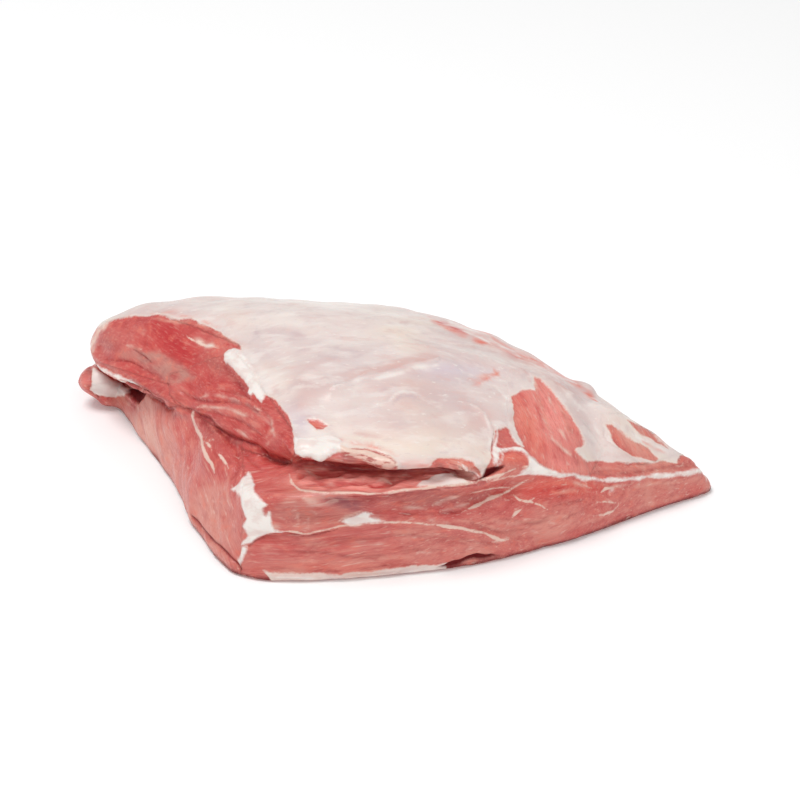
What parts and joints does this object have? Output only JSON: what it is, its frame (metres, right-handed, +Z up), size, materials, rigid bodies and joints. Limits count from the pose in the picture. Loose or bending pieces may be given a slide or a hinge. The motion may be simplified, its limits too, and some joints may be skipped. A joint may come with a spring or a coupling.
{
  "type": "veal rump",
  "caption": "Raw boneless veal rump: a low wedge of pink muscle under pale membrane, broad and blunt at one end and thin at the other, lying on its flat underside.",
  "frame": {"origin": "middle of the bounding box, on the flat underside", "axes": "+X towards the thin end, +Y to the back, +Z up"},
  "size_m": [0.3296, 0.2004, 0.076],
  "materials": {
    "veal": "moist raw meat"
  },
  "bodies": {
    "root": {"veal_rump": "veal"}
  },
  "joints": []
}
